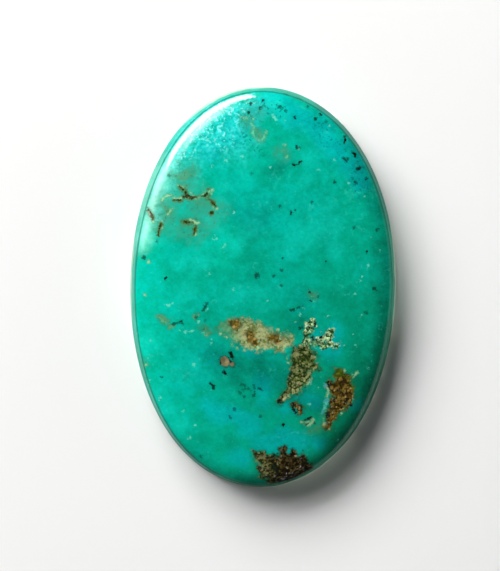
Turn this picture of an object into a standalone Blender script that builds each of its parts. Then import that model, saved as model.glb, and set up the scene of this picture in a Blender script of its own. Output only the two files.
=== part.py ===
"""Oval turquoise cabochon, cut in one piece: a flat base, a ground wall and a low polished dome.

+Z points up from the flat base and +Y along the stone's length. The origin is the middle of the
base. Brown matrix is softer than turquoise and wears away faster under the polishing wheel, so each
patch of it lies in a shallow, uneven hollow of the dome.
"""
import math

import bmesh
import bpy
from mathutils import Vector, noise

METRES = 0.001  # one of this script's millimetres

# Outline and profile, in millimetres
HALF_WIDTH = 11.66
HALF_LENGTH = 17.6
SHOULDER_HEIGHT = 2.4  # where the ground wall meets the dome
SHOULDER_INSET = 0.5  # how far the wall leans in over its height
CROWN = 1.4  # rise of the broad, even part of the dome
EDGE_RISE = 0.49  # further rise of the rolled edge just inside the shoulder
EDGE_ROLL = 0.7  # distance over which that edge rolls over

# Waves of the hand-cut outline, as shares of its radius
THREE_LOBED = 0.0032
THREE_LOBED_TURNED = 0.0013
FOUR_LOBED = -0.0053
FOUR_LOBED_TURNED = 0.0017

# Rings below the shoulder, each a height and an inset from the widest outline, in millimetres
WALL_RINGS = (
    (1.35, 0.19),  # belly of the ground wall
    (0.35, 0.0),  # widest outline
    (0.1, 0.08),  # rounded bottom edge
    (0.0, 0.3),  # flat base
)

# Fineness of the dome's mesh
CELLS_ACROSS = 50
RIM_CROWDING = 0.35  # how much closer the rings lie at the rim than in the middle

# Matrix: how deep each patch lies, and its run of blobs as (x, y, radius), all in millimetres
MATRIX_PATCHES = {
    "sand bar": (
        0.09,
        ((-3.08, -3.27, 0.74), (-1.72, -3.69, 1.05), (-0.27, -3.98, 1.13), (1.26, -4.44, 0.74)),
    ),
    "gold hook": (
        0.11,
        ((3.81, -2.9, 0.39), (3.65, -3.84, 0.35), (4.09, -4.44, 0.39), (5.3, -4.62, 0.35)),
    ),
    "olive patch": (
        0.11,
        ((3.25, -5.9, 0.92), (2.84, -7.27, 0.83), (2.43, -8.31, 0.65), (1.42, -9.43, 0.39)),
    ),
    "brown patch": (
        0.14,
        ((6.57, -7.48, 0.79), (6.68, -8.7, 1.05), (6.27, -9.65, 0.87), (5.7, -11.56, 0.44)),
    ),
    "bottom patch": (
        0.14,
        ((-0.11, -14.86, 0.52), (0.93, -15.48, 1.05), (2.31, -15.41, 0.92), (3.45, -15.34, 0.44)),
    ),
    "crevice": (
        0.12,
        ((-8.73, 7.68, 0.2), (-7.63, 8.36, 0.2), (-6.78, 7.95, 0.33), (-5.6, 7.79, 0.2), (-4.59, 8.39, 0.2)),
    ),
    "pebble": (0.1, ((-3.47, -6.14, 0.48), (-2.88, -5.58, 0.26))),
    "small pit": (0.14, ((3.69, -11.18, 0.35),)),
}
HOLLOW_SLOPE = 0.3  # width of the slope that leads into a hollow
REFINE_MARGIN = 0.35  # the finer mesh reaches this far past a hollow
PIT_SIZE = 0.55  # spacing of the pits on a hollow's floor
PIT_SHARE = 0.6  # how much the pits vary a hollow's depth

# Polished turquoise
TURQUOISE = (0.010, 0.440, 0.320, 1.0)
POLISHED_ROUGHNESS = 0.14

SMOOTH_UP_TO = math.radians(28)


def outline_point(angle, inset):
    """Point of the hand-cut oval, drawn in by inset, at an angle counted from +X."""
    wave = 1.0
    wave += THREE_LOBED * math.cos(3 * angle) + THREE_LOBED_TURNED * math.sin(3 * angle)
    wave += FOUR_LOBED * math.cos(4 * angle) + FOUR_LOBED_TURNED * math.sin(4 * angle)
    x = (HALF_WIDTH - inset) * wave * math.cos(angle)
    y = (HALF_LENGTH - inset) * wave * math.sin(angle)
    return x, y


def share_and_angle(u, v):
    """Concentric map: turns a point of the square -1 to 1 into a share of the way out and an angle."""
    share = max(abs(u), abs(v))
    if share == 0:
        return 0.0, 0.0
    if abs(u) >= abs(v):
        angle = math.pi / 4 * v / u
        if u < 0:
            angle += math.pi
    else:
        angle = math.pi / 2 - math.pi / 4 * u / v
        if v < 0:
            angle += math.pi
    crowded = share * (1 + RIM_CROWDING * (1 - share))
    return crowded, angle


def dome_place(share, angle):
    """Point of the plain dome, before any hollow."""
    edge_x, edge_y = outline_point(angle, SHOULDER_INSET)
    width = HALF_WIDTH - SHOULDER_INSET
    length = HALF_LENGTH - SHOULDER_INSET
    reach = width * length / math.hypot(length * math.cos(angle), width * math.sin(angle))
    from_edge = (1 - share) * reach
    rolled = EDGE_RISE * (1 - math.exp(-from_edge / EDGE_ROLL))
    height = SHOULDER_HEIGHT + CROWN * (1 - share ** 2) + rolled
    return Vector((edge_x * share, edge_y * share, height))


def distance_to_run(x, y, blobs):
    """Distance from a place to a run of blobs joined by tapering bridges; negative inside."""
    starts = blobs[:-1] or blobs
    ends = blobs[1:] or blobs
    nearest = math.inf
    for (ax, ay, a_radius), (bx, by, b_radius) in zip(starts, ends):
        run_x, run_y = bx - ax, by - ay
        length_squared = run_x ** 2 + run_y ** 2
        along = 0.0
        if length_squared > 0:
            along = ((x - ax) * run_x + (y - ay) * run_y) / length_squared
            along = min(max(along, 0.0), 1.0)
        radius = a_radius + (b_radius - a_radius) * along
        gap = math.hypot(x - ax - run_x * along, y - ay - run_y * along) - radius
        nearest = min(nearest, gap)
    return nearest


def near_matrix(x, y):
    """Whether a place lies in a patch of matrix or close around it."""
    return any(distance_to_run(x, y, blobs) < REFINE_MARGIN for _, blobs in MATRIX_PATCHES.values())


def hollow_depth(x, y):
    """How far the worn matrix lies below the polished dome at a place."""
    deepest = 0.0
    for depth, blobs in MATRIX_PATCHES.values():
        inside = -distance_to_run(x, y, blobs) / HOLLOW_SLOPE
        slope = min(max(inside, 0.0), 1.0)
        pits = 1 + PIT_SHARE * noise.noise(Vector((x, y, depth)) / PIT_SIZE)
        deepest = max(deepest, depth * slope * pits)
    return deepest


def refine_matrix(bm):
    """Split the cells of the flat grid that will hold matrix."""
    edges = set()
    for face in bm.faces:
        centre = face.calc_center_median()
        share, angle = share_and_angle(centre.x, centre.y)
        place = dome_place(share, angle)
        if near_matrix(place.x, place.y):
            edges.update(face.edges)
    bmesh.ops.subdivide_edges(bm, edges=list(edges), cuts=1, use_grid_fill=True)


def raise_dome(bm):
    """Wrap the flat square grid onto the oval dome and sink the hollows into it."""
    for vert in bm.verts:
        share, angle = share_and_angle(vert.co.x, vert.co.y)
        vert.co = dome_place(share, angle)
        if share < 1:
            vert.co.z -= hollow_depth(vert.co.x, vert.co.y)


def drop_wall(bm):
    """Draw the rim down through the wall's rings and close the base with a flat fan."""
    rim = [edge for edge in bm.edges if edge.is_boundary]
    inset = SHOULDER_INSET
    for height, next_inset in WALL_RINGS:
        extruded = bmesh.ops.extrude_edge_only(bm, edges=rim)["geom"]
        rim = [item for item in extruded if isinstance(item, bmesh.types.BMEdge)]
        for vert in {vert for edge in rim for vert in edge.verts}:
            across = vert.co.x / (HALF_WIDTH - inset)
            along = vert.co.y / (HALF_LENGTH - inset)
            x, y = outline_point(math.atan2(along, across), next_inset)
            vert.co = Vector((x, y, height))
        inset = next_inset
    base = bmesh.ops.contextual_create(bm, geom=rim)["faces"]
    bmesh.ops.poke(bm, faces=base)


def centre_on_base(bm):
    """Move the stone so that the middle of its box stands on the origin."""
    across = [vert.co.x for vert in bm.verts]
    along = [vert.co.y for vert in bm.verts]
    middle = Vector(((min(across) + max(across)) / 2, (min(along) + max(along)) / 2, 0))
    bmesh.ops.translate(bm, verts=bm.verts, vec=-middle)


def polished_turquoise():
    """Material of the stone."""
    material = bpy.data.materials.new("turquoise")
    material.use_nodes = True
    shader = material.node_tree.nodes["Principled BSDF"]
    shader.inputs["Base Color"].default_value = TURQUOISE
    shader.inputs["Roughness"].default_value = POLISHED_ROUGHNESS
    shader.inputs["Metallic"].default_value = 0.0
    return material


def turquoise_stone():
    """The whole cabochon as one closed solid."""
    bm = bmesh.new()
    bmesh.ops.create_grid(bm, x_segments=CELLS_ACROSS, y_segments=CELLS_ACROSS, size=1.0)
    refine_matrix(bm)
    raise_dome(bm)
    drop_wall(bm)
    centre_on_base(bm)
    bmesh.ops.triangulate(bm, faces=bm.faces, quad_method="SHORT_EDGE", ngon_method="BEAUTY")
    bmesh.ops.recalc_face_normals(bm, faces=bm.faces)
    bmesh.ops.scale(bm, verts=bm.verts, vec=(METRES, METRES, METRES))
    mesh = bpy.data.meshes.new("turquoise_stone")
    bm.to_mesh(mesh)
    bm.free()
    mesh.shade_smooth()
    mesh.set_sharp_from_angle(angle=SMOOTH_UP_TO)
    mesh.materials.append(polished_turquoise())
    stone = bpy.data.objects.new("turquoise_stone", mesh)
    bpy.context.collection.objects.link(stone)
    return stone


for old in list(bpy.data.objects):
    bpy.data.objects.remove(old)
turquoise_stone()
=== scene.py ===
import math

import bmesh
import bpy
import numpy as np
from mathutils import Matrix, Vector, noise


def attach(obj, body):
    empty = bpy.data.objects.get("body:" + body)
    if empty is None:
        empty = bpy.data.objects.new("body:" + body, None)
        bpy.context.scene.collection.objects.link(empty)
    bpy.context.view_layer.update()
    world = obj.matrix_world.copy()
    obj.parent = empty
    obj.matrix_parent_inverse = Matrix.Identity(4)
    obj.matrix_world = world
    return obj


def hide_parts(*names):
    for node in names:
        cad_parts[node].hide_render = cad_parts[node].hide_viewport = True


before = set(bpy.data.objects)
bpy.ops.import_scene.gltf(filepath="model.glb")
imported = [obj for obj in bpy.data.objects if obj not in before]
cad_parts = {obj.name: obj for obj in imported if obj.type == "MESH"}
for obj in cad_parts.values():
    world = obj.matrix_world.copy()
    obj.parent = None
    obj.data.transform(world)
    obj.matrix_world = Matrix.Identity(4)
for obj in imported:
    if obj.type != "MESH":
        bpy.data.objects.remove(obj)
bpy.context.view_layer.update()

# The polished stone. One piece of turquoise, sawn from rough with its own brown and golden matrix,
# ground to an oval on a wheel and polished by hand: a low dome, a ground wall and a lapped base.
# Sizes in this section are millimetres until the finished mesh is scaled down to metres.
METRES = 0.001
HALF_WIDTH = 11.66
HALF_LENGTH = 17.6
SHOULDER_HEIGHT = 2.4
SHOULDER_INSET = 0.5
CROWN = 1.4
EDGE_RISE = 0.49  # rise of the rolled edge just inside the shoulder
EDGE_ROLL = 0.7  # distance over which that edge rolls over
TIGHT_RISE = 0.16  # the same two on the long sides, where the wheel left a tighter edge
TIGHT_ROLL = 0.22
TIGHT_TOWARDS = math.radians(22)
WORN_EDGE = 0.04  # how far polishing has taken the sharp shoulder down
WORN_REACH = 0.06


def outline_wave(angle):
    """How the wheel-cut outline departs from a true oval."""
    three_lobed = 0.0032 * np.cos(3 * angle) + 0.0013 * np.sin(3 * angle)
    four_lobed = -0.0053 * np.cos(4 * angle) + 0.0017 * np.sin(4 * angle)
    return 1 + three_lobed + four_lobed


def oval(angle, inset):
    """Points of the outline, drawn in by inset."""
    wave = outline_wave(angle)
    return (HALF_WIDTH - inset) * wave * np.cos(angle), (HALF_LENGTH - inset) * wave * np.sin(angle)


def smooth(values, low, high):
    """A smooth step from 0 at low to 1 at high."""
    share = np.clip((values - low) / (high - low), 0, 1)
    return share * share * (3 - 2 * share)


def edge_shape(angle):
    """Rise and reach of the rolled edge at an angle, and the height of the shoulder below it."""
    tight = smooth(np.cos(angle - TIGHT_TOWARDS) ** 2, 0.5, 0.9)
    rise = EDGE_RISE + (TIGHT_RISE - EDGE_RISE) * tight
    roll = EDGE_ROLL + (TIGHT_ROLL - EDGE_ROLL) * tight
    return rise, roll, SHOULDER_HEIGHT + EDGE_RISE - rise


def share_and_angle(flat):
    """Concentric map: from a square blank, -1 to 1, to a share of the way out and an angle."""
    u, v = flat[:, 0], flat[:, 1]
    share = np.maximum(np.abs(u), np.abs(v))
    wide = np.abs(u) >= np.abs(v)
    safe_u = np.where(u == 0, 1, u)
    safe_v = np.where(v == 0, 1, v)
    side = math.pi / 4 * v / safe_u + np.where(u < 0, math.pi, 0)
    end = math.pi / 2 - math.pi / 4 * u / safe_v + np.where(v < 0, math.pi, 0)
    return share, np.where(wide, side, end)


def dome(flat):
    """The polished dome over a square blank: places in millimetres, and how far each is from the edge."""
    rim_crowding = 0.45
    share, angle = share_and_angle(flat)
    share = share * (1 + rim_crowding * (1 - share))
    edge_x, edge_y = oval(angle, SHOULDER_INSET)
    width, length = HALF_WIDTH - SHOULDER_INSET, HALF_LENGTH - SHOULDER_INSET
    reach = width * length / np.hypot(length * np.cos(angle), width * np.sin(angle))
    from_edge = (1 - share) * reach
    rise, roll, shoulder = edge_shape(angle)
    height = shoulder + CROWN * (1 - share ** 2) + rise * (1 - np.exp(-from_edge / roll))
    height = height - WORN_EDGE * np.exp(-from_edge / WORN_REACH)
    return np.column_stack((edge_x * share, edge_y * share, height)), from_edge


def grain(places, size, seed):
    """Smooth random values between about -1 and 1, one for each place, in lumps of the given size."""
    shift = Vector((3.1 * seed, 7.7 * seed, 1.3 * seed))
    return np.array([noise.noise(Vector(place) / size + shift) for place in places])


def inside(places, runs):
    """How deep each place lies inside the nearest of several runs of blobs; negative outside."""
    x, y = places[:, 0], places[:, 1]
    deepest = np.full(len(places), -9.0)
    for run in runs:
        for (ax, ay, a_radius), (bx, by, b_radius) in zip(run[:-1] or run, run[1:] or run):
            run_x, run_y = bx - ax, by - ay
            squared = max(run_x ** 2 + run_y ** 2, 1e-9)
            along = np.clip(((x - ax) * run_x + (y - ay) * run_y) / squared, 0, 1)
            radius = a_radius + (b_radius - a_radius) * along
            gap = np.hypot(x - ax - run_x * along, y - ay - run_y * along) - radius
            deepest = np.maximum(deepest, -gap)
    return deepest


# The photograph's frame, and a camera fitted to the stone's outline in it, which the camera section uses too
PHOTO_WIDTH = 500
PHOTO_HEIGHT = 571
PIXEL = 0.08765  # millimetres a pixel, at the stone's base
MIDDLE_ACROSS = 262.53  # where the middle of the stone's base is seen, in pixels
MIDDLE_DOWN = 287.54
LENS = 100.0
SENSOR = 36.0
LEAN = math.radians(3.0)
LEAN_TOWARDS = math.radians(110)
ROLL = math.radians(0.61)
aim = np.array(((PHOTO_WIDTH / 2 - MIDDLE_ACROSS) * PIXEL, (MIDDLE_DOWN - PHOTO_HEIGHT / 2) * PIXEL, 0.0))
lean_x, lean_y = math.cos(LEAN_TOWARDS), math.sin(LEAN_TOWARDS)
back = np.array((math.sin(LEAN) * lean_x, math.sin(LEAN) * lean_y, math.cos(LEAN)))
eye = aim + back * (PIXEL * PHOTO_HEIGHT * LENS / SENSOR)
right = np.cross(-back, (-math.sin(ROLL), math.cos(ROLL), 0.0))
right = right / np.linalg.norm(right)
up = np.cross(right, -back)


def plain_height(x, y):
    """Height of the dome over a place, leaving out the outline's waves and the tighter edge."""
    width, length = HALF_WIDTH - SHOULDER_INSET, HALF_LENGTH - SHOULDER_INSET
    share = np.minimum(np.hypot(x / width, y / length), 1)
    angle = np.arctan2(y / length, x / width)
    reach = width * length / np.hypot(length * np.cos(angle), width * np.sin(angle))
    rolled = EDGE_RISE * (1 - np.exp(-(1 - share) * reach / EDGE_ROLL))
    return SHOULDER_HEIGHT + CROWN * (1 - share ** 2) + rolled


def on_dome(runs):
    """Runs read in the photograph's pixels, laid on the dome along the camera's rays, in millimetres."""
    rounds = 12
    placed = []
    for across, down, radius in (np.array(run).T for run in runs):
        rays = np.outer(across - PHOTO_WIDTH / 2, right) - np.outer(down - PHOTO_HEIGHT / 2, up)
        rays = rays * (SENSOR / LENS / PHOTO_HEIGHT) - back
        height = np.full(len(across), SHOULDER_HEIGHT + CROWN)
        for _ in range(rounds):
            reached = eye + rays * ((height - eye[2]) / rays[:, 2])[:, None]
            height = plain_height(reached[:, 0], reached[:, 1])
        placed.append(np.column_stack((reached[:, :2], radius * PIXEL)).round(2).tolist())
    return placed


# The stone's markings: patches of matrix first, then cracks, specks and grains, and last the wide areas where
# the turquoise changes tone, with painted light, shade and reflections among them. Runs inside on_dome() are
# blobs (across, down, radius) read off enlarged parts of the photograph, in its pixels. All other runs are
# (x, y, radius) in millimetres on the dome's plan.
SAND = on_dome([
    ((223, 327, 4.5), (231, 327.5, 8.5), (243, 331.5, 12.5), (257, 336.5, 13.5), (270, 340, 9.5),
     (280, 341.5, 8.5), (288, 341.5, 4.5)),
    ((159.5, 316.5, 1.8), (165, 321.5, 2.6), (170.5, 325.5, 2)), ((196.5, 315.5, 2),), ((203, 331, 2.2),),
    ((206, 335, 1.6),),
])
RUST = on_dome([
    ((234, 322, 3.5), (237, 328, 3.5)), ((250, 335, 4.5), (254, 341, 3)),
    ((270, 338.5, 2.5), (277.5, 338.5, 4.5)),
])
GOLD = on_dome([
    ((307.5, 324.5, 2.2), (313, 323.5, 2.2)),
    ((310.5, 328, 1.8), (306.5, 332.5, 2.3), (305.5, 338.5, 2.6), (309, 343, 2.6), (317, 343.5, 2.8),
     (324.5, 344.5, 2.4), (331.5, 345.5, 1.7)),
    ((320, 341, 2.6), (326, 337, 3), (330.5, 333, 2.4), (333, 330.5, 1.4)), ((337, 345.3, 1),),
])
OLIVE = on_dome([
    ((296, 352.5, 4), (300.5, 357, 10), (304, 362.5, 9.5), (299.5, 370, 9), (298, 379, 8.5),
     (293.5, 387.5, 6.5)),
    ((308, 354, 5), (313, 358, 3.5)), ((311, 365, 4.5), (317.5, 368, 2.2)),
    ((305, 376, 5), (308.5, 380, 2.2)), ((291, 391, 4.2), (284.5, 396, 3), (280, 401, 2.2)),
])
BROWN = on_dome([
    ((338, 375, 5.5), (343.5, 380, 7.5), (343, 388, 10.5), (343, 396, 10.5), (338.5, 404, 8.5),
     (332.5, 412, 4.8), (330.5, 420, 4.2), (328.5, 427, 2.6)),
    ((330, 384, 3.5), (336, 390, 6)), ((351, 400, 3),),
    ((294.5, 405, 2.6), (298, 408, 3), (300.5, 411.5, 1.8)),
])
GREEN_CAP = on_dome([
    ((337, 373.5, 4.5), (343, 372, 3.5)), ((352, 379, 2.5), (354.5, 388, 2.5)),
])
DARK = on_dome([
    ((256, 454.5, 1.6), (262, 458, 4), (269, 463.5, 8), (281, 466.5, 11), (293, 467.5, 10),
     (302, 467.5, 7), (310, 467, 2.5)),
    ((284, 449.5, 1), (284.5, 457, 4)), ((293, 452.5, 1.4), (291, 459, 4)),
    ((303, 457, 1.6), (300, 463, 4)), ((266, 472, 4), (272, 478, 4), (285, 478, 4)),
]) + [
    ((0.4, -15.6, 0.6), (1.2, -16.1, 0.65), (2.6, -16.3, 0.6)),
]
PEBBLES = on_dome([
    ((224.8, 361.6, 4.9),), ((232.3, 364.6, 2.2),),
])
STAIN = on_dome([
    ((174, 176, 4), (184, 176, 8), (194, 170, 4)), ((186, 186, 5),), ((163, 205, 3), (168, 213, 5)),
    ((200, 204, 5), (209, 201, 5)), ((158, 228, 4),), ((186, 224, 4), (195, 225, 4)),
    ((244, 118, 3), (250, 123, 3)), ((256, 130, 3), (260, 135, 5)),
    ((277, 150, 2.5), (283, 150.5, 3.5), (286, 155.5, 2.5)),
    ((310, 430, 3), (318, 427, 4.5), (326, 424, 3)), ((324, 416, 3),), ((313.5, 296.5, 3.5),),
    ((143.5, 362.5, 3.5),), ((222, 331, 4), (216, 330, 3)), ((165, 320, 3),),
    ((204, 327, 3.5), (210, 332, 3)),
])
BLACK = on_dome([
    ((352.6, 153.2, 1.5), (355.2, 155.2, 1.7)), ((357, 169, 1.3), (359.8, 167.8, 1.4)),
    ((363.8, 167.1, 1),), ((365.7, 179, 1.2),), ((334.9, 181.9, 1.3),),
    ((344.7, 139.5, 1), (344.2, 142, 1)), ((315, 118.7, 1.7),), ((320.1, 114.4, 1.3),),
    ((294.9, 117.3, 1.5),), ((296.2, 145.7, 1.1), (296.8, 147.7, 1)),
    ((294, 164.9, 1.2), (297.5, 164.5, 0.8), (301.1, 161.8, 1.1)),
    ((291.2, 211.6, 0.9), (291.1, 214.4, 0.9)), ((295.4, 210.1, 1),), ((282.2, 258.7, 1.2),),
    ((326, 261.8, 1.3),), ((367, 251.9, 1.3),), ((374, 288.4, 1.4), (376.6, 290.4, 0.8)),
    ((309.7, 291.6, 1.2),), ((310.2, 300.2, 1.2),), ((291.2, 310.1, 1.1), (293.8, 310, 1.2)),
    ((297.4, 307.4, 1.1), (299.4, 307, 1)), ((303.3, 305.3, 1),), ((299.5, 328.6, 1.1), (302, 327.4, 1)),
    ((309.6, 325.2, 0.9), (309, 328.2, 0.9)), ((315.2, 322.6, 1), (315.2, 326, 0.8)),
    ((306.8, 329.6, 0.9),), ((311.8, 337.2, 1), (313.8, 339.8, 1)), ((307, 344, 1), (311, 346.3, 0.8)),
    ((316.4, 341, 0.8), (320.8, 336.8, 1)), ((262.9, 100.6, 1.3),), ((261, 107.7, 1.1),),
    ((250.6, 103.9, 1),), ((249.1, 112.5, 1),), ((252, 118.7, 1),),
    ((229.5, 415.6, 1.2), (230.6, 418.3, 1.3)), ((283.2, 425.1, 1.3),),
    ((165, 279.2, 1), (167.4, 277.2, 0.9)), ((230.5, 353.5, 2.2), (232.4, 357, 2.2)),
    ((224.2, 372, 1.9), (225.6, 374.2, 1.7)), ((219.6, 361, 0.8), (220.4, 366, 0.8)),
    ((228.8, 357.6, 0.9), (230.4, 361.4, 1)), ((235.2, 361, 0.7),), ((279.4, 401, 2), (282.2, 402, 1.4)),
    ((294.2, 403.6, 0.9), (292.8, 408, 1), (295.6, 412.6, 1)), ((300.6, 405.5, 1), (302, 409.6, 0.8)),
    ((327, 382.4, 1.6), (328.6, 386.2, 1.8), (330, 389.4, 1)), ((326, 412.6, 1.6), (328.6, 416, 1.2)),
    ((332.8, 410.8, 1.2),), ((346.8, 400.6, 1.5), (344.6, 403.6, 1)), ((338, 390.4, 1.6),),
    ((351.6, 405.2, 1),), ((288, 380.5, 1), (291.6, 373, 0.9)), ((299.5, 365, 1.3), (301.4, 368, 1)),
    ((305, 372, 1), (308, 370.4, 1)), ((297.4, 358.2, 1),), ((306, 357.4, 1.1),), ((301.6, 378.4, 1.2),),
    ((312.4, 361.6, 0.9),), ((274, 466.6, 3), (276.4, 472, 2)), ((267, 457.6, 1.3),), ((263.4, 473, 1),),
    ((285, 474, 1),), ((303, 462, 1),), ((304, 421.2, 0.9), (307.4, 419.4, 1.5), (311, 417.2, 1)),
]) + [
    ((3.35, -11.35, 0.12), (3.9, -11.5, 0.17), (4.45, -11.4, 0.1)),
]
SPECKLE = on_dome([
    ((241.5, 384.2, 0.8), (244.6, 385.6, 0.9), (245.2, 388.4, 0.9)), ((243, 389.4, 0.8),),
    ((238.7, 391, 0.8), (239.8, 393, 0.8)), ((244.2, 396.8, 1),), ((253.9, 385.6, 0.9), (254.6, 388, 0.7)),
    ((251.2, 390.2, 0.8),), ((254.6, 392.4, 0.8), (253.8, 395.4, 1.1)),
    ((258.6, 388.6, 0.9), (261.4, 389.4, 0.8)), ((248.6, 388.8, 0.7),), ((280.9, 269.9, 1.1),),
    ((273.9, 275.5, 1),), ((281, 285.3, 1),), ((353.8, 227.7, 1),), ((376.7, 229.6, 0.9),),
    ((366.2, 312.6, 1.1),), ((318.4, 295.6, 0.9),), ((355.7, 182.4, 1.2),), ((345.1, 136.4, 1),),
    ((279.6, 106.8, 1.2),), ((285.4, 111.1, 0.9),), ((326, 122.1, 1),), ((280.1, 206.3, 1.2),),
    ((311.7, 202, 0.9),), ((251.5, 173.3, 1.2),), ((143.4, 257.6, 1.2),), ((161.6, 377.3, 1),),
    ((234.8, 409.8, 0.9),), ((200.8, 456.7, 1.1),), ((260.6, 416, 1),),
    ((343.8, 158.6, 0.9), (346.4, 161.4, 0.9)), ((347.4, 158.4, 0.8),),
    ((265.5, 88.8, 1), (273, 89.6, 1.2)), ((284.6, 92.6, 1.2), (288, 93.6, 1)),
    ((298, 96.6, 1.2), (303.5, 98.4, 1)), ((308, 106.6, 1),),
    ((210, 383.4, 0.6), (214.2, 386, 0.8), (213.2, 388.6, 0.6)),
    ((173.8, 324.4, 0.8), (177, 322.4, 0.9), (181, 321.4, 0.9), (183, 323.6, 0.8)), ((157.4, 241.2, 1),),
    ((299.6, 148.2, 0.8),), ((203.4, 310.2, 0.9), (206.2, 303.8, 1.2)), ((196.4, 317.4, 1),),
    ((205.4, 320.6, 1),), ((203.6, 329.2, 0.9),), ((256.8, 275.4, 2.2),), ((199.4, 110.8, 0.9),),
    ((190, 120.8, 0.8),), ((169.4, 175.8, 1.3),), ((164, 160, 0.9),),
])
CRACKS = on_dome([
    ((179.3, 186.2, 0.6), (183.1, 190, 0.9), (186, 193.4, 1.6), (187.4, 196.6, 1.9), (191, 197.4, 1.1),
     (195.6, 197.2, 0.6)),
    ((184.4, 196.4, 1.4),), ((173.6, 200, 0.5), (180.3, 200.1, 0.6)),
    ((201.3, 196.4, 0.8), (204.4, 196.2, 0.8), (206.8, 193.8, 0.8)), ((208.6, 189.6, 0.6),),
    ((209.6, 195.4, 0.7),), ((208.8, 198.8, 0.5), (212.8, 202.4, 0.8), (215.8, 206.4, 0.8)),
    ((211.6, 213.2, 1),), ((184.4, 221.6, 0.9), (188.6, 222, 0.8), (192.6, 222.6, 0.7)),
    ((195.8, 226.6, 0.8), (195.4, 230, 0.9), (193.8, 234, 0.7)),
    ((148.4, 210.6, 0.9), (150.4, 213.2, 0.8), (153, 218.6, 0.7)),
    ((161.2, 223.4, 0.8), (160.8, 226, 0.8), (158.8, 231.6, 0.9), (158.6, 235, 0.7)),
])
CREAM = on_dome([
    ((177.2, 185, 0.5), (182.4, 187.2, 0.6)), ((189.8, 192.4, 0.5), (192.4, 195, 0.7), (195.4, 198.4, 0.6)),
    ((172.4, 198.2, 0.6), (180.8, 198.4, 0.6)),
    ((161, 202.6, 0.5), (163.2, 198.4, 0.7), (166.8, 195.8, 0.7), (170.6, 195.4, 0.5)),
    ((199.6, 198, 0.5), (203.2, 193.8, 0.6)), ((209.2, 191.2, 0.9),), ((212.4, 190, 0.8),),
    ((210.8, 194, 0.7),), ((205.2, 192, 0.5),), ((216.8, 208.8, 0.9),), ((213.4, 207.6, 0.5),),
    ((190, 220, 0.7), (196.4, 223.4, 0.8), (199, 222.6, 0.7)), ((161.8, 221.2, 0.9),),
    ((161.8, 227.6, 0.7),), ((195.7, 234.4, 1),),
    ((167.6, 214.4, 0.5), (170.4, 210.4, 0.6), (173.4, 208, 0.4)), ((153, 221.8, 0.5),),
    ((243.6, 118, 0.6), (247.4, 118.4, 0.7)),
    ((251, 123.6, 0.6), (253.8, 126.2, 0.7), (252.8, 133.4, 0.7), (255, 137.4, 0.7),
     (259.8, 140.2, 0.8), (263.6, 138.2, 0.7), (266.4, 131.8, 0.7)),
    ((253.4, 118.6, 0.7),), ((287.2, 156.9, 0.8),), ((285.2, 145, 0.8),), ((226.2, 337, 0.9),),
    ((231.8, 344.8, 1),), ((237.4, 348, 0.8),), ((244.4, 349.8, 0.9),), ((251.6, 349.6, 0.7),),
    ((257.8, 347.2, 1),), ((264.4, 348.6, 0.7),), ((271, 347.4, 0.7),), ((220.6, 333.6, 0.7),),
    ((238.8, 330, 0.8),), ((280.2, 334.6, 0.8),), ((280.4, 339, 0.9),), ((286, 345.2, 0.6),),
    ((278.2, 329.8, 0.9),), ((246.4, 342.4, 0.8),), ((258.8, 341.2, 0.7),), ((266.8, 345, 0.6),),
    ((307.7, 324.4, 0.9),), ((312.2, 323.7, 1),), ((305.6, 333, 0.8),), ((305.6, 339, 1),),
    ((310.4, 342.8, 1.3),), ((315, 342.6, 0.9),), ((319.4, 344.2, 1),), ((323, 341.4, 1),),
    ((327, 344.8, 1.2),), ((330.8, 346.2, 0.8),), ((309.8, 331.2, 0.8),), ((312.6, 330.6, 0.6),),
    ((318.6, 340, 0.6),), ((333.4, 329.8, 0.8),), ((337, 345.3, 0.9),), ((304.2, 342.4, 0.6),),
    ((325.4, 346.6, 0.6),), ((307, 384.2, 0.6), (309.2, 382, 0.7), (309.6, 379, 0.5)),
    ((283.4, 399.2, 0.9), (286, 398, 0.5)), ((288, 395.8, 1),), ((286.6, 358, 0.6),),
    ((288.4, 362.6, 0.6),), ((314.6, 357.4, 0.8),), ((316.4, 363.4, 0.6),), ((297, 404.6, 0.7),),
    ((299.4, 407.2, 0.9),), ((301.2, 422.2, 0.6), (304.6, 423.2, 0.8), (308, 421.8, 0.7)),
    ((308.4, 425.4, 0.8), (311, 423.4, 1.1), (313, 420, 0.9)),
    ((326.4, 384.2, 0.5), (328.6, 391.2, 0.8), (327.2, 396.6, 0.6)), ((325.4, 410.8, 0.6),),
    ((332.4, 412.8, 1),), ((323.8, 419.6, 0.5),), ((324.2, 424, 1.5),), ((329, 429, 0.8),),
    ((341.4, 413.4, 0.8),), ((352.6, 398.8, 0.9),), ((344.2, 371, 0.7),),
    ((354, 376.6, 0.5), (358, 371.6, 0.7)), ((352.8, 374.6, 0.5),), ((261.6, 469.8, 0.8),),
    ((287.2, 467.8, 0.9),), ((297.8, 468.8, 0.8),), ((289.4, 473.6, 0.8),), ((277.4, 463.6, 0.8),),
    ((281, 456.6, 0.7),), ((295.4, 456, 0.6),), ((266, 468.4, 0.6),), ((144.6, 294.8, 0.9),),
    ((148.8, 261.4, 1.1),), ((145.9, 364.6, 1),),
])
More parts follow.
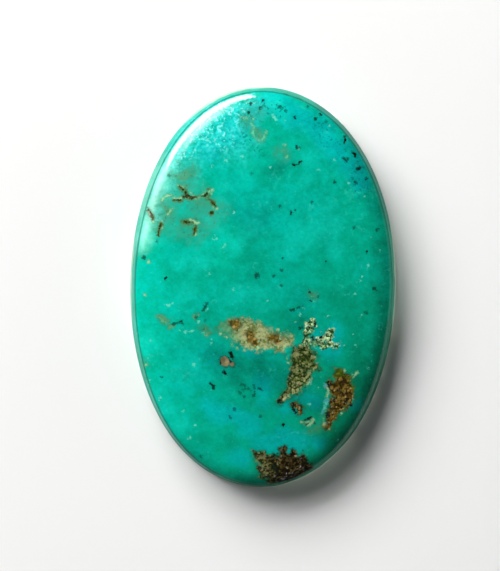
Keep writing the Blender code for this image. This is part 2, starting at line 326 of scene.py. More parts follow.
PALE = on_dome([
    ((379.3, 249.9, 1.1),), ((354.7, 293.5, 1),), ((326.2, 317.6, 0.7), (328.4, 315.4, 0.8)),
    ((188.4, 438.8, 1.1), (190, 437.2, 0.8)), ((182, 411.6, 0.6), (184.4, 409.8, 0.8)),
    ((184.8, 331.6, 1), (192.6, 331.4, 1.1)), ((179.8, 330.6, 0.7),), ((211.8, 339.8, 1),),
    ((211.6, 343, 0.6),), ((148.7, 358.1, 1),), ((368.6, 367.9, 1),), ((337.5, 439.4, 0.8),),
    ((349, 183.1, 0.9),), ((242.5, 156.5, 1),), ((303.2, 308, 0.8),), ((268.2, 300.4, 1.2),),
    ((360.9, 316.1, 1),), ((352.8, 334.3, 1),), ((355.7, 345.3, 0.9),), ((137.2, 333.8, 1.1),),
    ((150.6, 340, 1.1),), ((209.4, 273.1, 1),), ((232.9, 288.4, 1.4),), ((149.7, 379.7, 1.3),),
    ((149.4, 384.6, 0.9),), ((195.6, 425.6, 1.2),), ((160.2, 396.9, 1.3),), ((159.4, 399.8, 0.8),),
    ((193.7, 364.3, 1.5),), ((367.9, 265.4, 1),), ((370.5, 238.2, 1),), ((333.7, 159.4, 1.1),),
    ((329.4, 125.9, 1.1),), ((226.2, 160.4, 1.6),), ((211.8, 166.1, 1.4),), ((234.3, 212, 1.3),),
    ((364.2, 196.2, 0.9),), ((360.4, 280.7, 0.8),), ((362, 276.8, 0.9),), ((312.2, 296, 0.9),),
    ((318, 294.6, 0.7),), ((314.4, 302, 0.9),), ((300, 314.6, 1),), ((295.6, 322, 0.8),),
    ((344.4, 345.4, 0.9),), ((317.4, 388.3, 0.8),), ((309.3, 404.5, 1),),
    ((164.3, 304.4, 0.6), (168.6, 305.8, 0.9), (172.6, 303.2, 0.7)),
    ((221.2, 249.2, 0.8), (225.2, 244.6, 0.7)), ((198.4, 321.6, 2),),
    ((206, 310.6, 0.8), (208.4, 308, 0.8)), ((202, 331.6, 0.9),), ((205, 333.8, 0.8),),
    ((212.2, 235.6, 0.6), (212.4, 238.6, 0.6)),
    ((214.4, 239.4, 0.5), (216.8, 238.8, 0.6), (216.6, 235.8, 0.5), (214.4, 234.8, 0.5)),
    ((327.2, 402.6, 1.4), (324, 409.6, 1.1)), ((312.2, 377.4, 0.9), (310.4, 383, 0.8)),
    ((318.8, 388.4, 0.8),), ((299.4, 148.8, 1),), ((318.4, 170, 1.1),), ((314, 158.4, 0.9),),
    ((272.2, 114.6, 1.6), (275.4, 119.6, 1.4)), ((285, 120, 1),), ((187, 147, 1),), ((270.6, 167.4, 1),),
])
BLUE_EDGE = on_dome([
    ((324, 383, 1), (328, 388, 1.2), (327.6, 397, 1.4), (325, 405, 1.8), (323, 411, 1.6)),
])
DEEP = on_dome([
    ((272, 171, 6),), ((250, 236, 6), (252, 250, 4)), ((257, 272, 9),), ((206, 313, 7),),
    ((345, 303, 12), (330, 297, 8)), ((286, 326, 8), (300, 322, 5)), ((214, 331, 5),), ((231, 444, 7),),
    ((288, 315, 8),), ((352, 320, 9),), ((356, 352, 8), (358, 380, 9)), ((240, 372, 7),), ((262, 364, 6),),
    ((228, 203, 6),), ((312, 312, 6),), ((330, 362, 6),), ((170, 352, 5),), ((324, 430, 5),),
    ((200, 445, 6),), ((344, 412, 6),),
])
BRIGHT = on_dome([
    ((207, 258, 7), (196, 268, 6)), ((178, 262, 6),), ((238, 292, 7),), ((232, 246, 4), (254, 226, 6)),
    ((300, 237, 12), (330, 226, 12)), ((150, 335, 8), (146, 352, 5)), ((160, 395, 7), (168, 408, 5)),
    ((255, 292, 6),), ((306, 160, 6),), ((306, 178, 5),), ((272, 106, 7), (282, 118, 6)),
    ((222, 190, 7), (216, 222, 6)), ((290, 256, 6),), ((335, 250, 6),), ((194, 364, 5),), ((180, 425, 6),),
    ((262, 306, 6),), ((186, 290, 6),), ((325, 210, 8),),
])
BLUE = on_dome([
    ((283, 436, 9), (297, 440, 7)), ((240, 458, 9),), ((316, 445, 6),), ((306, 396, 6), (315, 402, 5)),
    ((336, 332, 6), (330, 352, 8)), ((300, 414, 3),), ((250, 352, 6),), ((262, 384, 8), (262, 400, 7)),
    ((158, 213, 5),), ((318, 336, 4),), ((352, 405, 5),), ((284, 410, 8),),
    ((232, 130, 16), (260, 108, 10)), ((210, 150, 10),),
]) + [
    ((0.4, 16.0, 0.9), (2.2, 15.0, 1.1), (4.2, 14.2, 0.8), (5.6, 12.6, 0.9),
     (7.4, 10.8, 0.9), (8.4, 9.2, 0.6)),
    ((-0.4, -13.3, 0.6), (1.6, -13.3, 1.0), (3.4, -13.2, 0.8)),
    ((-4.4, -10.4, 0.7), (-2.4, -10.6, 0.9), (-1.0, -11.8, 0.9)),
]
# The band of fine frost inside the bright strip on the upper left edge: a fine bump there, and painted glints
# of the window's reflection.
FROST_AND_GLINTS = on_dome([
    ((176, 166, 5), (188, 146, 9), (206, 126, 13), (226, 112, 13), (246, 104, 8)), ((222, 138, 8),),
])
# A painted glow of the window's reflection, just inside the bright strip on the upper left edge.
PAINTED_GLOW = [
    ((-8.6, 8.4, 0.9), (-6.9, 11.6, 1.6), (-4.3, 14.2, 2.0), (-1.4, 15.4, 1.1)),
    ((-2.6, 12.4, 1.4),),
]
# A painted reflection on the left flank: a broad, pale green sheen.
PAINTED_SHEEN = [
    ((-10.4, 3.4, 0.4), (-9.9, 6.4, 1.0), (-9.2, 8.8, 1.2), (-8.3, 10.5, 0.7)),
]
CLOUDY = [
    ((-9.0, 6.4, 0.9), (-6.9, 8.6, 1.2), (-4.4, 6.6, 1.0), (-6.2, 4.6, 0.6), (-8.6, 5.0, 0.3)),
    ((-6.6, 10.2, 0.8),), ((-1.2, 13.6, 0.3),), ((1.2, 11.7, 0.3),), ((-1.6, 15.7, 0.3), (-0.6, 14.8, 0.4)),
]
# Lighter areas: those along the left and lower left flank are painted light falling from that side; the small
# ones further in are the stone's own tone.
PALER_AND_LIT = [
    ((-10.0, -0.8, 1.6), (-9.6, -6.0, 2.0), (-7.8, -10.6, 2.4), (-4.8, -13.8, 2.2), (-1.5, -15.2, 1.4)),
    ((-7.8, -6.2, 0.6), (-6.0, -10.6, 0.8), (-4.0, -12.6, 0.6)),
    ((-5.2, -10.2, 0.8), (-2.0, -12.4, 1.0)), ((-3.7, 4.2, 0.3), (-3.6, 2.6, 0.3)),
    ((-9.6, 4.4, 0.6), (-9.8, 1.6, 0.8)), ((-1.8, 10.4, 0.4),),
]
# Dimmer areas: the runs along the top right, the right side and the bottom rim are painted shade on the side
# away from the light; the small ones further in are the stone's own tone.
DARKER_AND_SHADED = [
    ((-4.6, -5.4, 0.6), (-1.2, -6.6, 1.2), (2.6, -8.0, 1.6)),
    ((1.2, 10.4, 0.3),), ((-1.6, 6.4, 0.6), (-0.2, 5.8, 0.7)), ((3.3, -1.2, 0.5), (3.4, -2.6, 0.5)),
    ((5.4, 15.4, 0.8), (7.6, 13.2, 1.3), (9.6, 9.6, 1.3), (10.2, 6.4, 0.5)),
    ((10.4, 4.0, 0.3), (10.6, 1.0, 0.6), (10.0, -5.0, 1.3), (9.2, -9.6, 1.8), (6.8, -13.6, 1.5)),
    ((-1.4, -16.8, 0.6),), ((3.6, -9.6, 0.4), (5.0, -9.9, 0.4)),
]
# Where the pale, chalk-like lower wall reaches higher: partly the ground stone's own colour, partly painted
# light standing in for the lit pale line along the edge.
CHALKY_AND_LIT = [
    ((11.8, 4.0, 0.8), (11.8, -1.8, 1.0)), ((6.6, -14.6, 1.0), (3.0, -17.2, 1.2)),
    ((-11.8, 2.4, 1.0), (-11.8, -1.6, 1.0)), ((-6.2, 15.0, 0.6), (-3.6, 16.8, 1.0), (-0.8, 17.6, 0.6)),
]
PEPPERED = [
    ((-2.0, 15.8, 0.5), (-0.6, 15.0, 0.9), (0.8, 15.4, 0.7)), ((-1.6, 13.0, 0.5), (-0.2, 11.8, 0.7)),
    ((4.2, 14.2, 0.6), (6.6, 12.0, 0.6)), ((7.4, 10.6, 0.6), (8.8, 8.6, 0.6)),
]

PATCHES = SAND + GOLD + OLIVE + BROWN + DARK + PEBBLES
FINE_MARKS = BLACK + SPECKLE + CRACKS + CREAM + PALE


def split_cells(bm, near):
    """Splits the blank's cells wherever the given test of dome places is true."""
    centres = np.array([face.calc_center_median() for face in bm.faces])
    places, _ = dome(centres)
    chosen = near(places)
    edges = {edge for face, wanted in zip(bm.faces, chosen) if wanted for edge in face.edges}
    bmesh.ops.subdivide_edges(bm, edges=list(edges), cuts=1, use_grid_fill=True)


def coordinates(verts):
    """The places of vertices as an array."""
    return np.array([vert.co for vert in verts])


def relief(places):
    """How far the surface lies below the even dome: worn matrix, pits, open cracks, hand-polish waves."""
    lump_size, pit_size, wave_size = 0.5, 0.19, 5.0
    worn_depth, rough_depth, speck_depth, crack_depth, wave_depth = 0.05, 0.03, 0.015, 0.025, 0.006
    worn_slope, rough_slope, speck_slope, crack_slope = 0.3, 0.25, 0.12, 0.2
    ragged_border, crack_border = 0.12, 0.05
    lumps = grain(places, lump_size, 1)
    pits = grain(places, pit_size, 2)
    worn = np.clip((inside(places, PATCHES) + ragged_border * lumps) / worn_slope, 0, 1)
    rough = np.clip((inside(places, BROWN + DARK + OLIVE + GOLD) + ragged_border * lumps) / rough_slope, 0, 1)
    speck = np.clip(inside(places, BLACK) / speck_slope, 0, 1)
    crack = np.clip((inside(places, CRACKS) + crack_border) / crack_slope, 0, 1)
    depth = worn * (worn_depth + 0.04 * lumps + 0.015 * pits) + rough * rough_depth * (1 + pits)
    depth = depth + speck_depth * speck + crack_depth * crack * (1 + pits)
    return depth + wave_depth * grain(places, wave_size, 3)


CELLS = 168  # along each side of the blank
NEAR_MARK = 0.16  # halved cells start this far outside a mark
NEAR_FINE_MARK = 0.05  # and cells halved once more this far outside a fine one
EVEN_RIM = 0.3  # relief fades out over this distance from the shoulder
bm = bmesh.new()
bmesh.ops.create_grid(bm, x_segments=CELLS, y_segments=CELLS, size=1.0)
split_cells(bm, lambda places: inside(places, PATCHES + FINE_MARKS) > -NEAR_MARK)
split_cells(bm, lambda places: inside(places, FINE_MARKS) > -NEAR_FINE_MARK)
places, from_edge = dome(coordinates(bm.verts))
sunk = relief(places) * np.clip(from_edge / EVEN_RIM, 0, 1)
for vert, place, depth in zip(bm.verts, places, sunk):
    vert.co = place
    vert.co.z -= depth
dome_count = len(bm.verts)

# The wall: the rim drawn down in rings of (height, inset), ground upright and rounded into the base
WALL = (
    (2.33, 0.47), (2.2, 0.43), (2.0, 0.375), (1.7, 0.295), (1.35, 0.2), (0.95, 0.105), (0.6, 0.04),
    (0.36, 0.0), (0.22, 0.015), (0.11, 0.07), (0.04, 0.16), (0.0, 0.3), (0.0, 0.45), (0.0, 0.7),
)
rim = [edge for edge in bm.edges if edge.is_boundary]
rim_inset = SHOULDER_INSET
for height, inset in WALL:
    extruded = bmesh.ops.extrude_edge_only(bm, edges=rim)["geom"]
    rim = [item for item in extruded if isinstance(item, bmesh.types.BMEdge)]
    ring = list({vert for edge in rim for vert in edge.verts})
    above = coordinates(ring)
    angle = np.arctan2(above[:, 1] / (HALF_LENGTH - rim_inset), above[:, 0] / (HALF_WIDTH - rim_inset))
    ring_x, ring_y = oval(angle, inset)
    ring_z = height * edge_shape(angle)[2] / SHOULDER_HEIGHT
    for vert, x, y, z in zip(ring, ring_x, ring_y, ring_z):
        vert.co = Vector((x, y, z))
    rim_inset = inset
base = bmesh.ops.contextual_create(bm, geom=rim)["faces"]
bmesh.ops.poke(bm, faces=base)

# What the material is told at each vertex: how deep it lies inside each mark, and how far below the shoulder
BASE_LEVEL = 0.02  # what lies lower than this is the base
WALL_FADE = 1.2  # how fast a mark ends below the shoulder
FAR = 3.0  # as far outside a mark as needs telling apart
DOME_REACH = 2.0  # the same for the way in from the shoulder
BASE_DEPTH = 4.0  # the base's value, deeper than any of the wall
bm.verts.index_update()
places = coordinates(bm.verts)
middle = (places.min(axis=0) + places.max(axis=0)) / 2
middle[2] = 0
below_shoulder = np.concatenate((-from_edge, SHOULDER_HEIGHT - places[dome_count:, 2]))
on_base = places[:, 2] < BASE_LEVEL
marks = {
    "sand": SAND, "rust": RUST, "gold": GOLD, "olive": OLIVE, "brown": BROWN, "green_cap": GREEN_CAP,
    "dark": DARK, "pebble": PEBBLES, "stain": STAIN, "black": BLACK, "speckle": SPECKLE, "crack": CRACKS,
    "cream": CREAM, "pale": PALE, "blue_edge": BLUE_EDGE, "frost_and_glints": FROST_AND_GLINTS,
}
areas = {
    "deep": DEEP, "bright": BRIGHT, "blue": BLUE, "painted_glow": PAINTED_GLOW, "painted_sheen": PAINTED_SHEEN, "cloudy": CLOUDY,
    "paler_and_lit": PALER_AND_LIT, "darker_and_shaded": DARKER_AND_SHADED, "chalky_and_lit": CHALKY_AND_LIT, "peppered": PEPPERED,
}
fields = {name: inside(places, runs) for name, runs in areas.items()}
on_wall = WALL_FADE * np.maximum(below_shoulder, 0)
fields.update({name: inside(places, runs) - on_wall for name, runs in marks.items()})
fields = {name: np.where(on_base, -FAR, np.clip(values, -FAR, FAR)) for name, values in fields.items()}
fields["below_shoulder"] = np.where(on_base, BASE_DEPTH, np.clip(below_shoulder, -DOME_REACH, FAR))
bmesh.ops.translate(bm, verts=bm.verts, vec=Vector(-middle))
bmesh.ops.scale(bm, verts=bm.verts, vec=(METRES, METRES, METRES))
bmesh.ops.recalc_face_normals(bm, faces=bm.faces)
mesh = bpy.data.meshes.new("polished_stone")
bm.to_mesh(mesh)
bm.free()
mesh.shade_smooth()
for name, values in fields.items():
    attribute = mesh.attributes.new(name, "FLOAT", "POINT")
    attribute.data.foreach_set("value", values.astype(np.float32))
stone = bpy.data.objects.new("polished_stone", mesh)
bpy.context.collection.objects.link(stone)


class Shade:
    """A value in a node tree. Arithmetic on it adds the nodes that work it out."""

    def __init__(self, tree, socket=None):
        self.tree = tree
        self.socket = socket

    def node(self, kind, settings, inputs, output=0):
        """Adds a node of any kind; settings are set first, then values or links go to its sockets."""
        added = self.tree.nodes.new(kind)
        for name, value in settings.items():
            setattr(added, name, value)
        for name, value in inputs.items():
            if isinstance(value, Shade):
                self.tree.links.new(value.socket, added.inputs[name])
            else:
                added.inputs[name].default_value = value
        return Shade(self.tree, added.outputs[output])

    def maths(self, operation, first, second=0.0):
        return self.node("ShaderNodeMath", {"operation": operation}, {0: first, 1: second})

    def __add__(self, other):
        return self.maths("ADD", self, other)

    def __radd__(self, other):
        return self.maths("ADD", other, self)

    def __sub__(self, other):
        return self.maths("SUBTRACT", self, other)

    def __rsub__(self, other):
        return self.maths("SUBTRACT", other, self)

    def __mul__(self, other):
        return self.maths("MULTIPLY", self, other)

    def __rmul__(self, other):
        return self.maths("MULTIPLY", other, self)

    def larger(self, other):
        return self.maths("MAXIMUM", self, other)

    def size(self):
        return self.maths("ABSOLUTE", self)

    def step(self, low, high):
        """A smooth step: 0 below low, 1 above high."""
        settings = {"interpolation_type": "SMOOTHSTEP"}
        return self.node("ShaderNodeMapRange", settings, {"Value": self, "From Min": low, "From Max": high})

    def blend(self, other, share):
        """This colour, turning into the other one as share goes from 0 to 1."""
        other = other if isinstance(other, Shade) else (*other, 1.0)
        settings = {"data_type": "RGBA", "blend_type": "MIX"}
        return self.node("ShaderNodeMix", settings, {0: share, 6: self, 7: other}, 2)

    def between(self, first, second):
        """The colour on the way from the first, where this value is 0, to the second, where it is 1."""
        settings = {"data_type": "RGBA", "blend_type": "MIX"}
        return self.node("ShaderNodeMix", settings, {0: self, 6: (*first, 1.0), 7: (*second, 1.0)}, 2)

    def times(self, factor):
        """This colour or vector times a value."""
        return self.node("ShaderNodeVectorMath", {"operation": "SCALE"}, {"Vector": self, "Scale": factor})

    def feed(self, shader, socket):
        """Links this value to a socket of the finished shader."""
        self.tree.links.new(self.socket, shader.inputs[socket])


polish = bpy.data.materials.new("polished turquoise")
polish.use_nodes = True
skin = polish.node_tree.nodes["Principled BSDF"]
start = Shade(polish.node_tree)
place = start.node("ShaderNodeTexCoord", {}, {}, "Object").times(1 / METRES)


def cloud(size, detail=2.0, distortion=0.0):
    """Soft random values about 0, in clouds of the given size in millimetres."""
    inputs = {"Vector": place, "Scale": 1 / size, "Detail": detail, "Distortion": distortion}
    return start.node("ShaderNodeTexNoise", {}, inputs) - 0.5


def crystals(size):
    """Packed grains of the given size: nearness to a grain's middle, and the grain's own random value."""
    pushed = {"Vector": place, "Scale": 1.2 / size}
    push = start.node("ShaderNodeTexNoise", {}, pushed, "Color").times(0.5 * size)
    bent = start.node("ShaderNodeVectorMath", {"operation": "ADD"}, {0: place, 1: push})
    inputs = {"Vector": bent, "Scale": 1 / size}
    nearness = 1 - start.node("ShaderNodeTexVoronoi", {}, inputs, "Distance").step(0.2, 0.62)
    own_colour = start.node("ShaderNodeTexVoronoi", {}, inputs, "Color")
    return nearness, start.node("ShaderNodeSeparateColor", {}, {"Color": own_colour}, 0)


def mark(name):
    """How deep a place lies inside a marking, in millimetres."""
    return start.node("ShaderNodeAttribute", {"attribute_name": name}, {}, "Fac")


ragged = 1.2 * cloud(0.55, 3.0) + 0.6 * cloud(0.2, 2.0)
nibbled = 0.3 * cloud(0.16, 1.0) + 0.3 * cloud(0.4, 2.0)
drift = 2.6 * cloud(1.7, 3.0)
coarse_grain, coarse_value = crystals(0.34)
fine_grain, fine_value = crystals(0.2)

# Turquoise: clouded body, greener with painted shade towards one end, bluer and lighter areas, painted light,
# shade and reflections, pale flecks
spread = start.node("ShaderNodeSeparateXYZ", {}, {"Vector": place}, 0)
along = start.node("ShaderNodeSeparateXYZ", {}, {"Vector": place}, 1)
# Greener and deeper towards the lower right end: the greener tone is the stone's own, the dimming is painted
# shade on the side away from the light.
to_greener_shaded_end = (0.8 * spread - 0.6 * along + 2.0 * drift).step(0.0, 14.0)
clouds = 0.7 * cloud(3.6, 2.0) + 0.8 * cloud(1.2, 3.0, 0.4) + 0.5 * cloud(0.4, 2.0)
body = (cloud(5.0, 2.0) + clouds).step(-0.25, 0.35).between((0.0, 0.352, 0.224), (0.0, 0.370, 0.278))
body = body.blend((0.0, 0.264, 0.124), 0.85 * to_greener_shaded_end)
body = body.blend((0.0, 0.372, 0.352), 0.75 * (mark("blue") + drift).step(-0.7, 0.6))
body = body.blend((0.0, 0.225, 0.125), 0.5 * (mark("deep") + drift).step(-0.7, 0.6))
body = body.blend((0.003, 0.500, 0.380), 0.5 * (mark("bright") + drift).step(-0.7, 0.6))
# Painted reflection: a pale, mottled glow of the window just inside the bright strip.
painted_glow = (mark("painted_glow") + 1.5 * drift).step(-1.4, 1.6)
mottled = (cloud(0.3, 2.0) + 0.6 * cloud(0.9, 2.0)).step(-0.25, 0.25)
body = body.blend((0.02, 0.560, 0.510), painted_glow * (0.15 + 0.85 * mottled))
# Painted reflection: a broad, pale green sheen over the left flank.
painted_sheen_share = (mark("painted_sheen") + 0.9 * drift).step(-0.8, 0.8)
body = body.blend((0.15, 0.540, 0.410), painted_sheen_share * (0.75 + 0.8 * cloud(0.7, 3.0)))
# Painted light on the left and lower left flank, painted shade along the right side and the rim away from the
# light, and some small areas of the stone's own lighter and deeper tone.
paler_and_lit_side = (mark("paler_and_lit") + 1.5 * drift).step(-1.8, 1.8)
darker_and_shaded_side = (mark("darker_and_shaded") + 1.5 * drift).step(-1.5, 1.5)
texture = 0.3 * cloud(0.3, 2.0) + 0.25 * cloud(0.16, 1.0)
body = body.times(1 + 0.5 * clouds + texture + 0.22 * paler_and_lit_side - 0.38 * darker_and_shaded_side)
wisps = (cloud(0.5, 3.0, 0.8) + 0.5 * cloud(2.2, 1.0)).step(0.12, 0.34)
flecks = fine_grain * fine_value.step(0.86, 1.0) * cloud(1.6, 2.0).step(-0.02, 0.15)
body = body.blend((0.03, 0.56, 0.44), 0.4 * wisps.larger(flecks))
# Painted reflection: pale glints of the window breaking up over the band of frost, between dimmer mottles.
frost_and_glint_zone = (mark("frost_and_glints") + drift).step(-0.9, 0.9)
painted_glints = (cloud(0.26, 2.0) + 0.4 * cloud(0.9, 2.0)).step(0.06, 0.16)
body = body.blend((0.0, 0.240, 0.165), 0.6 * frost_and_glint_zone * cloud(0.34, 2.0).step(0.0, 0.16))
body = body.blend((0.24, 0.780, 0.730), 0.75 * frost_and_glint_zone * painted_glints)
pepper = (cloud(0.24, 2.0) + 0.4 * cloud(0.8, 2.0)).step(0.07, 0.16)
body = body.blend((0.0, 0.160, 0.095), 0.75 * pepper * (mark("peppered") + drift).step(-0.6, 0.4))

# Stains round the matrix and the crevice: greener, then olive
stain = (mark("stain") + 0.5 * drift + 0.9 * ragged).step(-0.5, 0.4)
cloudy = (mark("cloudy") + 0.7 * drift + 0.9 * ragged).step(-0.8, 0.5)
body = body.blend((0.032, 0.300, 0.200), 0.75 * cloudy * (0.6 + 2.2 * cloud(0.5, 3.0)))
olive_tinge = (cloud(0.45, 3.0) + 0.5 * mark("stain")).step(-0.05, 0.3)
body = body.blend(olive_tinge.between((0.022, 0.250, 0.145), (0.070, 0.200, 0.065)), 0.65 * stain)
grime = (cloud(0.28, 3.0) + 0.3 * cloud(1.1, 1.0)).step(0.06, 0.2)
body = body.blend((0.035, 0.120, 0.035), 0.5 * cloudy.larger(stain) * grime)


def grains(gap, low, high, clump=0.45):
    """Packed grains of two tones, with dark gaps between clumps of them."""
    tone = (0.35 * fine_value + 0.5 * coarse_value + 1.2 * cloud(0.7, 3.0)).step(0.2, 0.7)
    packed = 0.3 * fine_grain + 0.5 * coarse_grain * coarse_value + 1.5 * cloud(clump, 3.0)
    return tone.between(low, high).blend(gap, 1 - packed.step(-0.05, 0.4))


def edge(name, low, high):
    """Where a patch of matrix is: its shape as read off the photograph, with a ragged, soft border."""
    return (mark(name) + ragged + 0.12 * coarse_value).step(low, high)


sand = edge("sand", -0.2, 0.34)
gold = edge("gold", -0.2, 0.08)
olive = edge("olive", -0.16, 0.22)
brown = edge("brown", -0.14, 0.2)
dark = edge("dark", -0.36, 0.12)
halo = mark("dark").larger(mark("brown")).larger(mark("olive")).larger(mark("sand") - 0.15)
body = body.blend((0.004, 0.130, 0.045), 0.6 * (halo + ragged).step(-0.55, 0.0))

sandy = (cloud(0.6, 3.0) + 0.9 * cloud(0.2, 2.0) + 0.2 * coarse_value).step(-0.15, 0.3)
sandy = sandy.between((0.110, 0.160, 0.040), (0.36, 0.410, 0.185))
sandy = sandy.blend((0.36, 0.36, 0.17), 0.7 * fine_grain * fine_value.step(0.7, 0.9))
sandy = sandy.blend((0.04, 0.280, 0.140), 0.85 * (0.9 * cloud(0.8, 2.0) - spread).step(1.4, 3.4))
rusty = grains((0.045, 0.035, 0.002), (0.15, 0.100, 0.008), (0.40, 0.25, 0.060))
sandy = sandy.blend(rusty, 0.95 * (mark("rust") + 0.8 * ragged).step(-0.32, 0.1))
golden = grains((0.004, 0.050, 0.010), (0.13, 0.30, 0.11), (0.66, 0.88, 0.46), 0.24)
olives = grains((0.014, 0.034, 0.001), (0.098, 0.125, 0.028), (0.235, 0.262, 0.105), 0.35)
browns = grains((0.026, 0.016, 0.000), (0.092, 0.055, 0.003), (0.19, 0.125, 0.024), 0.35)
browns = browns.blend((0.05, 0.12, 0.006), 0.7 * (mark("green_cap") + ragged).step(-0.2, 0.2))
darks = grains((0.008, 0.004, 0.000), (0.040, 0.026, 0.004), (0.095, 0.070, 0.020), 0.35)
tan_end = (1.2 - spread + 1.5 * cloud(0.7, 3.0)).step(-0.5, 0.9)
tans = grains((0.020, 0.022, 0.002), (0.100, 0.105, 0.028), (0.22, 0.230, 0.095), 0.35)
darks = darks.blend(tans, 0.85 * tan_end)
body = body.blend(sandy, sand).blend(golden, gold).blend(olives, olive)
body = body.blend(browns, brown).blend(darks, dark)
sparkling = gold.larger(brown).larger(0.15 * dark).larger(0.6 * olive)
sparks = fine_grain.step(0.3, 0.9) * fine_value.step(0.8, 0.95) * sparkling
body = body.blend((0.45, 0.32, 0.14), 0.55 * sparks)
body = body.blend((0.010, 0.012, 0.004), 0.6 * (mark("pebble") + 1.5 * nibbled).step(-0.18, -0.04))
pebble = coarse_value.between((0.15, 0.135, 0.06), (0.23, 0.19, 0.10))
body = body.blend(pebble, (mark("pebble") + 0.8 * nibbled).step(-0.04, 0.06))

# Specks, threads and cracks
patch = sand.larger(gold).larger(olive).larger(brown).larger(dark)
body = body.blend((0.06, 0.40, 0.42), 0.7 * (mark("blue_edge") + 0.8 * ragged).step(-0.1, 0.14))
faint = 0.82 + 1.2 * cloud(1.5, 1.0)
body = body.blend((0.003, 0.040, 0.022), faint * (mark("speckle") + 1.3 * nibbled).step(-0.13, 0.05))
paleness = (0.7 - 0.5 * patch) * (mark("pale") + 1.3 * nibbled).step(-0.06, 0.12)
body = body.blend(patch.between((0.12, 0.60, 0.45), (0.30, 0.32, 0.18)), paleness)
body = body.blend((0.003, 0.014, 0.006), (0.1 + faint) * (mark("black") + 1.4 * nibbled).step(-0.07, 0.08))
body = body.blend((0.060, 0.120, 0.020), 0.8 * (mark("crack") + 1.6 * nibbled).step(-0.22, -0.04))
creamy = along.step(8.0, 10.0).between((0.27, 0.500, 0.270), (0.085, 0.540, 0.335))
creamy = creamy.blend((0.30, 0.270, 0.150), olive.larger(brown).larger(dark))
body = body.blend((0.10, 0.330, 0.160), 0.6 * (1 - patch) * (mark("cream") + 1.2 * nibbled).step(-0.16, 0.0))
body = body.blend(creamy, 0.85 * (mark("cream") + nibbled).step(-0.05, 0.06))
cracked = (mark("crack") + nibbled).step(-0.06, 0.04)
crack_floor = (cloud(0.3, 1.0) + mark("crack")).step(-0.05, 0.25)
body = body.blend(crack_floor.between((0.006, 0.014, 0.001), (0.055, 0.050, 0.004)), 0.92 * cracked)

# Wall and base: painted shade on rim and wall, a painted shade line at the shoulder, ground faces growing
# pale and dull downwards
down = mark("below_shoulder")
# Painted shade: dimmer along the right side near the rim, and most of all at the lower right rim, away from
# the light.
far_side = (spread - 0.3 * along).step(2.0, 7.0)
low_rim_shade = (spread - along).step(12.0, 18.0) * down.step(-1.3, -0.1)
body = body.times(1 - 0.6 * low_rim_shade).times(1 - 0.24 * far_side * down.step(-1.9, -0.5))
# Painted shade: the wall made 30% dimmer, against the light falling full on it.
body = body.times(1 - 0.3 * down.step(0.0, 0.15))
# Painted shade: a fine dark line in the crease where the wall meets the dome.
body = body.blend((0.0, 0.090, 0.060), 0.8 * (1 - (down + 0.05).size().step(0.02, 0.12)))
# The lower wall turns pale and chalk-like: partly the ground stone's own colour, partly painted light
# standing in for the lit pale line along the edge, reaching higher where the chalk runs lie.
ground = (down + 0.9 * cloud(0.9, 5.0) + 1.2 * mark("chalky_and_lit").step(-2.0, 1.2)).step(1.7, 2.5)
chalky_and_lit = cloud(1.5, 2.0).step(-0.1, 0.2).between((0.34, 0.46, 0.36), (0.50, 0.50, 0.37))
body = body.blend(chalky_and_lit, 0.78 * ground)
lapped = down.step(3.3, 3.6)
underside = (clouds + cloud(4.0, 2.0)).step(-0.3, 0.3).between((0.06, 0.42, 0.33), (0.14, 0.52, 0.42))
veins = (cloud(6.0, 4.0).size() + 0.12 * ragged).step(0.015, 0.05)
underside = underside.blend((0.16, 0.12, 0.05), (1 - veins) * cloud(7.0, 1.0).step(-0.05, 0.05))
body = body.blend(underside, lapped)

# The finished skins: clear polish on the dome, and a dull ground face on the wall and the base
TURQUOISE_IOR = 1.61
GROUND_ROUGHNESS = 0.5
GROUND_SHINE = 0.1
roughness = 0.085 + 0.14 * patch + 0.04 * stain + 0.04 * cloud(0.6, 2.0) + 0.08 * cracked
height = 0.003 * cloud(0.8, 2.0) + 0.008 * frost_and_glint_zone * cloud(0.22, 1.0) + 0.015 * patch * coarse_grain
bump = start.node("ShaderNodeBump", {}, {"Strength": 1.0, "Distance": METRES, "Height": height}, "Normal")
body.feed(skin, "Base Color")
roughness.feed(skin, "Roughness")
bump.feed(skin, "Normal")
skin.inputs["IOR"].default_value = TURQUOISE_IOR
dull = {"Base Color": body, "Normal": bump, "Roughness": GROUND_ROUGHNESS, "Specular IOR Level": GROUND_SHINE}
ground_skin = start.node("ShaderNodeBsdfPrincipled", {}, dull, "BSDF")
polished_skin = Shade(polish.node_tree, skin.outputs["BSDF"])
unpolished = (down + 0.2 * far_side + 0.08 * cloud(1.2, 2.0)).step(-0.16, -0.03)
skins = {"Fac": unpolished, 1: polished_skin, 2: ground_skin}
both = start.node("ShaderNodeMixShader", {}, skins, "Shader")
both.feed(polish.node_tree.nodes["Material Output"], "Surface")
mesh.materials.append(polish)
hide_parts("turquoise_stone")
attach(stone, "root")

# The floor. A plain pale surface for the stone to lie on; not part of the object.
floor_bm = bmesh.new()
bmesh.ops.create_grid(floor_bm, x_segments=1, y_segments=1, size=2.0)
floor_mesh = bpy.data.meshes.new("floor")
floor_bm.to_mesh(floor_mesh)
floor_bm.free()
pale_floor = bpy.data.materials.new("pale floor")
pale_floor.use_nodes = True
floor_skin = pale_floor.node_tree.nodes["Principled BSDF"]
floor_skin.inputs["Base Color"].default_value = (0.8, 0.8, 0.79, 1.0)
floor_skin.inputs["Roughness"].default_value = 0.8
floor_mesh.materials.append(pale_floor)
floor = bpy.data.objects.new("floor", floor_mesh)
bpy.context.collection.objects.link(floor)


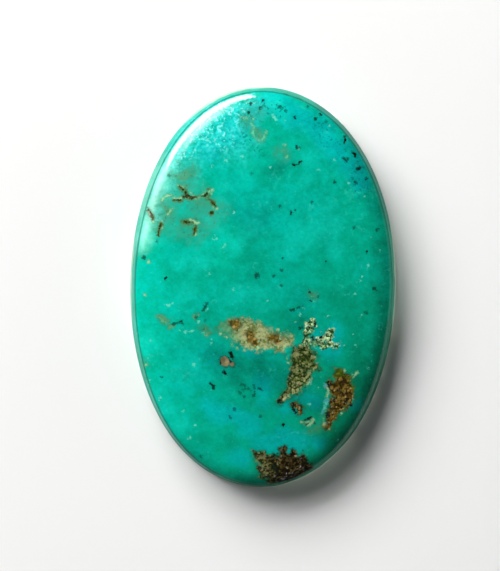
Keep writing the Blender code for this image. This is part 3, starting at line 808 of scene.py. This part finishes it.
# The light. A tall soft panel at the upper left is seen as the bright strip on the dome's edge. Two
# dimmer, fading ones beside it veil the left flank, and a low card opposite lights the far wall.
def panel(name, azimuth, elevation, distance, width, height, radiance, fade):
    """A soft rectangular lamp facing the stone; azimuth is counted from +X towards +Y, in degrees."""
    lamp = bpy.data.lights.new(name, "AREA")
    lamp.shape = "RECTANGLE"
    lamp.size = width
    lamp.size_y = height
    lamp.energy = radiance * math.pi * width * height
    lamp.use_nodes = True
    tree = lamp.node_tree
    face = Shade(tree).node("ShaderNodeNewGeometry", {}, {}, "Parametric")
    across = face.node("ShaderNodeSeparateXYZ", {}, {"Vector": face}, 0)
    up = face.node("ShaderNodeSeparateXYZ", {}, {"Vector": face}, 1)
    evenness = across.step(0, fade) * (1 - across).step(0, fade) * up.step(0, fade) * (1 - up).step(0, fade)
    evenness.feed(tree.nodes["Emission"], "Strength")
    lamp_object = bpy.data.objects.new(name, lamp)
    around, raised = math.radians(azimuth), math.radians(elevation)
    level = math.cos(raised)
    towards = Vector((math.cos(around) * level, math.sin(around) * level, math.sin(raised)))
    lamp_object.location = towards * distance
    lamp_object.rotation_mode = "QUATERNION"
    lamp_object.rotation_quaternion = towards.to_track_quat("Z", "Y")
    bpy.context.collection.objects.link(lamp_object)


panel(
    "window", azimuth=123, elevation=26.5, distance=0.5,
    width=0.48, height=0.2, radiance=18.5, fade=0.03,
)
panel(
    "flank veil", azimuth=158, elevation=26, distance=0.55,
    width=0.26, height=0.42, radiance=6.0, fade=0.45,
)
panel(
    "upper veil", azimuth=128, elevation=44, distance=0.5,
    width=0.32, height=0.22, radiance=11.0, fade=0.45,
)
panel(
    "low card", azimuth=-25, elevation=3, distance=0.5,
    width=0.8, height=0.04, radiance=36.0, fade=0.1,
)

world = bpy.data.worlds.new("dim room")
world.use_nodes = True
world.node_tree.nodes["Background"].inputs["Color"].default_value = (0.85, 0.95, 1.0, 1.0)
world.node_tree.nodes["Background"].inputs["Strength"].default_value = 0.025
bpy.context.scene.world = world

# The camera. It looks almost straight down from close above, leaning a little to the upper left, from the
# place that the marks were laid out from.
lens = bpy.data.cameras.new("camera")
lens.lens = LENS
lens.sensor_width = SENSOR
lens.clip_start = 0.01
camera = bpy.data.objects.new("camera", lens)
turned = Matrix((right, up, back)).transposed().to_4x4()
camera.matrix_world = Matrix.Translation((eye - middle) * METRES) @ turned
bpy.context.collection.objects.link(camera)
bpy.context.scene.camera = camera

look = bpy.context.scene.view_settings
look.view_transform = "Standard"
look.look = "None"
